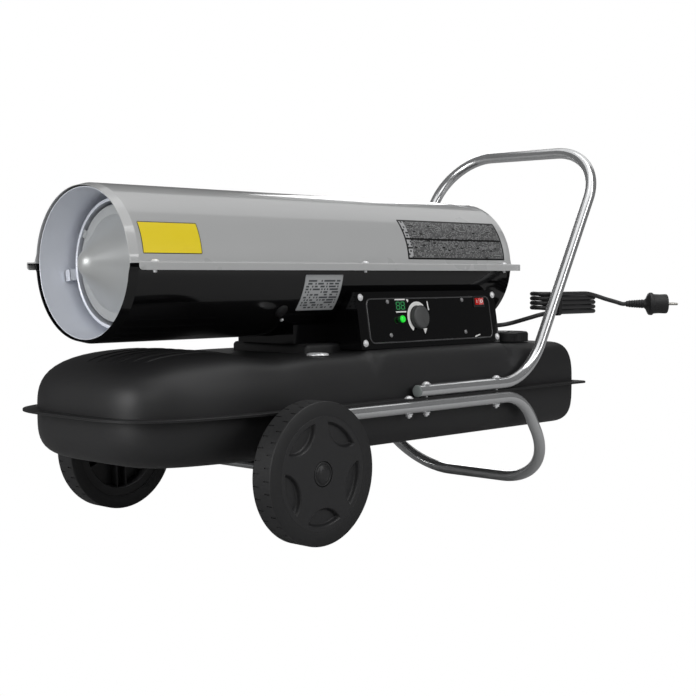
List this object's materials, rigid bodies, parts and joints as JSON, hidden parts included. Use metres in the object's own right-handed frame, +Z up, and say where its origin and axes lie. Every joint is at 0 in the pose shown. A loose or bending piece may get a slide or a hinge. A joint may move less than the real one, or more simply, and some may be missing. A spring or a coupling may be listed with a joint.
{
  "type": "forced air heater",
  "caption": "Wheeled forced air heater: round casing over a fuel tank, with side control box, tube handle and leg, burner, fan and hanked mains cord.",
  "frame": {"origin": "on the ground under the middle of the heater without its cord", "axes": "+Z up; the hot air leaves along -X; the controls face -Y; the handle is at +X"},
  "size_m": [1.1464, 0.5245, 0.6063],
  "materials": {
    "grey_paint": "gloss",
    "black_paint": "gloss",
    "satin_black": "satin",
    "bright_tube": "polished",
    "zinc": "satin",
    "aluminised": "satin",
    "light_alloy": "satin",
    "hot_steel": "satin",
    "motor_paint": "satin",
    "black_rubber": "matte",
    "tyre_rubber": "matte",
    "black_plastic": "satin",
    "grey_plastic": "satin",
    "red_plastic": "gloss",
    "green_lens": "gloss",
    "smoked_lens": "gloss",
    "circuit_green": "satin",
    "brass": "satin",
    "ceramic": "satin"
  },
  "bodies": {
    "base": {"upper_shell": "grey_paint", "lower_shell": "black_paint", "outlet_liner": "aluminised", "combustion_chamber": "hot_steel", "flame_deflector": "hot_steel", "burner_head": "hot_steel", "nozzle_holder": "zinc", "fuel_nozzle": "brass", "spark_electrode": "ceramic", "flame_sensor": "black_plastic", "fan_motor": "motor_paint", "motor_bracket": "zinc", "air_pump": "light_alloy", "rear_guard": "black_paint", "air_hose": "black_rubber", "tank_upper": "satin_black", "tank_lower": "satin_black", "filler_strainer": "grey_plastic", "fuel_gauge": "zinc", "fuel_line": "black_rubber", "suction_filter": "brass", "saddle": "black_paint", "control_box": "black_paint", "circuit_board": "circuit_green", "ignition_transformer": "black_plastic", "control_panel": "black_paint", "display_window": "smoked_lens", "heat_lamp": "green_lens", "thermostat_body": "black_plastic", "power_switch": "black_plastic", "handle_tube": "bright_tube", "leg_tube": "bright_tube", "tube_plug_near": "black_plastic", "tube_plug_far": "black_plastic", "front_bolt_near": "zinc", "front_bolt_far": "zinc", "rear_bolt_near": "zinc", "rear_bolt_far": "zinc", "axle": "zinc", "axle_bracket_near": "black_paint", "axle_bracket_far": "black_paint", "cable_gland": "black_plastic", "cord_lead": "black_rubber", "cord_hank": "black_rubber", "cord_tail": "black_rubber", "plug_body": "black_rubber", "plug_pin_near": "zinc", "plug_pin_far": "zinc", "cord_tie": "black_plastic"},
    "near_wheel": {"tyre_near": "tyre_rubber", "wheel_disc_near": "black_plastic", "hub_cap_near": "black_plastic"},
    "far_wheel": {"tyre_far": "tyre_rubber", "wheel_disc_far": "black_plastic", "hub_cap_far": "black_plastic"},
    "fan": {"fan_impeller": "light_alloy", "fan_shaft": "zinc"},
    "knob": {"thermostat_knob": "grey_plastic"},
    "rocker": {"switch_rocker": "red_plastic"},
    "cap": {"filler_cap": "black_plastic"}
  },
  "joints": [
    {"name": "near_wheel_spin", "type": "hinge", "parent": "base", "child": "near_wheel", "pos_m": [-0.271, -0.2239, 0.1], "axis": [0, 1, 0], "continuous": true},
    {"name": "far_wheel_spin", "type": "hinge", "parent": "base", "child": "far_wheel", "pos_m": [-0.271, 0.2239, 0.1], "axis": [0, 1, 0], "continuous": true},
    {"name": "fan_spin", "type": "hinge", "parent": "base", "child": "fan", "pos_m": [0.13, 0, 0.3882], "axis": [1, 0, 0], "continuous": true},
    {"name": "thermostat_turn", "type": "hinge", "parent": "base", "child": "knob", "pos_m": [0.061, -0.12716, 0.30397], "axis": [0, 0.9858, -0.168], "range_deg": [0, 270]},
    {"name": "switch_rock", "type": "hinge", "parent": "base", "child": "rocker", "pos_m": [0.221, -0.12026, 0.32663], "axis": [0, 0.168, 0.9858], "range_deg": [0, 16]},
    {"name": "cap_turn", "type": "hinge", "parent": "base", "child": "cap", "pos_m": [0.353, -0.085, 0.26], "axis": [0, 0, 1], "range_deg": [0, 90]}
  ]
}
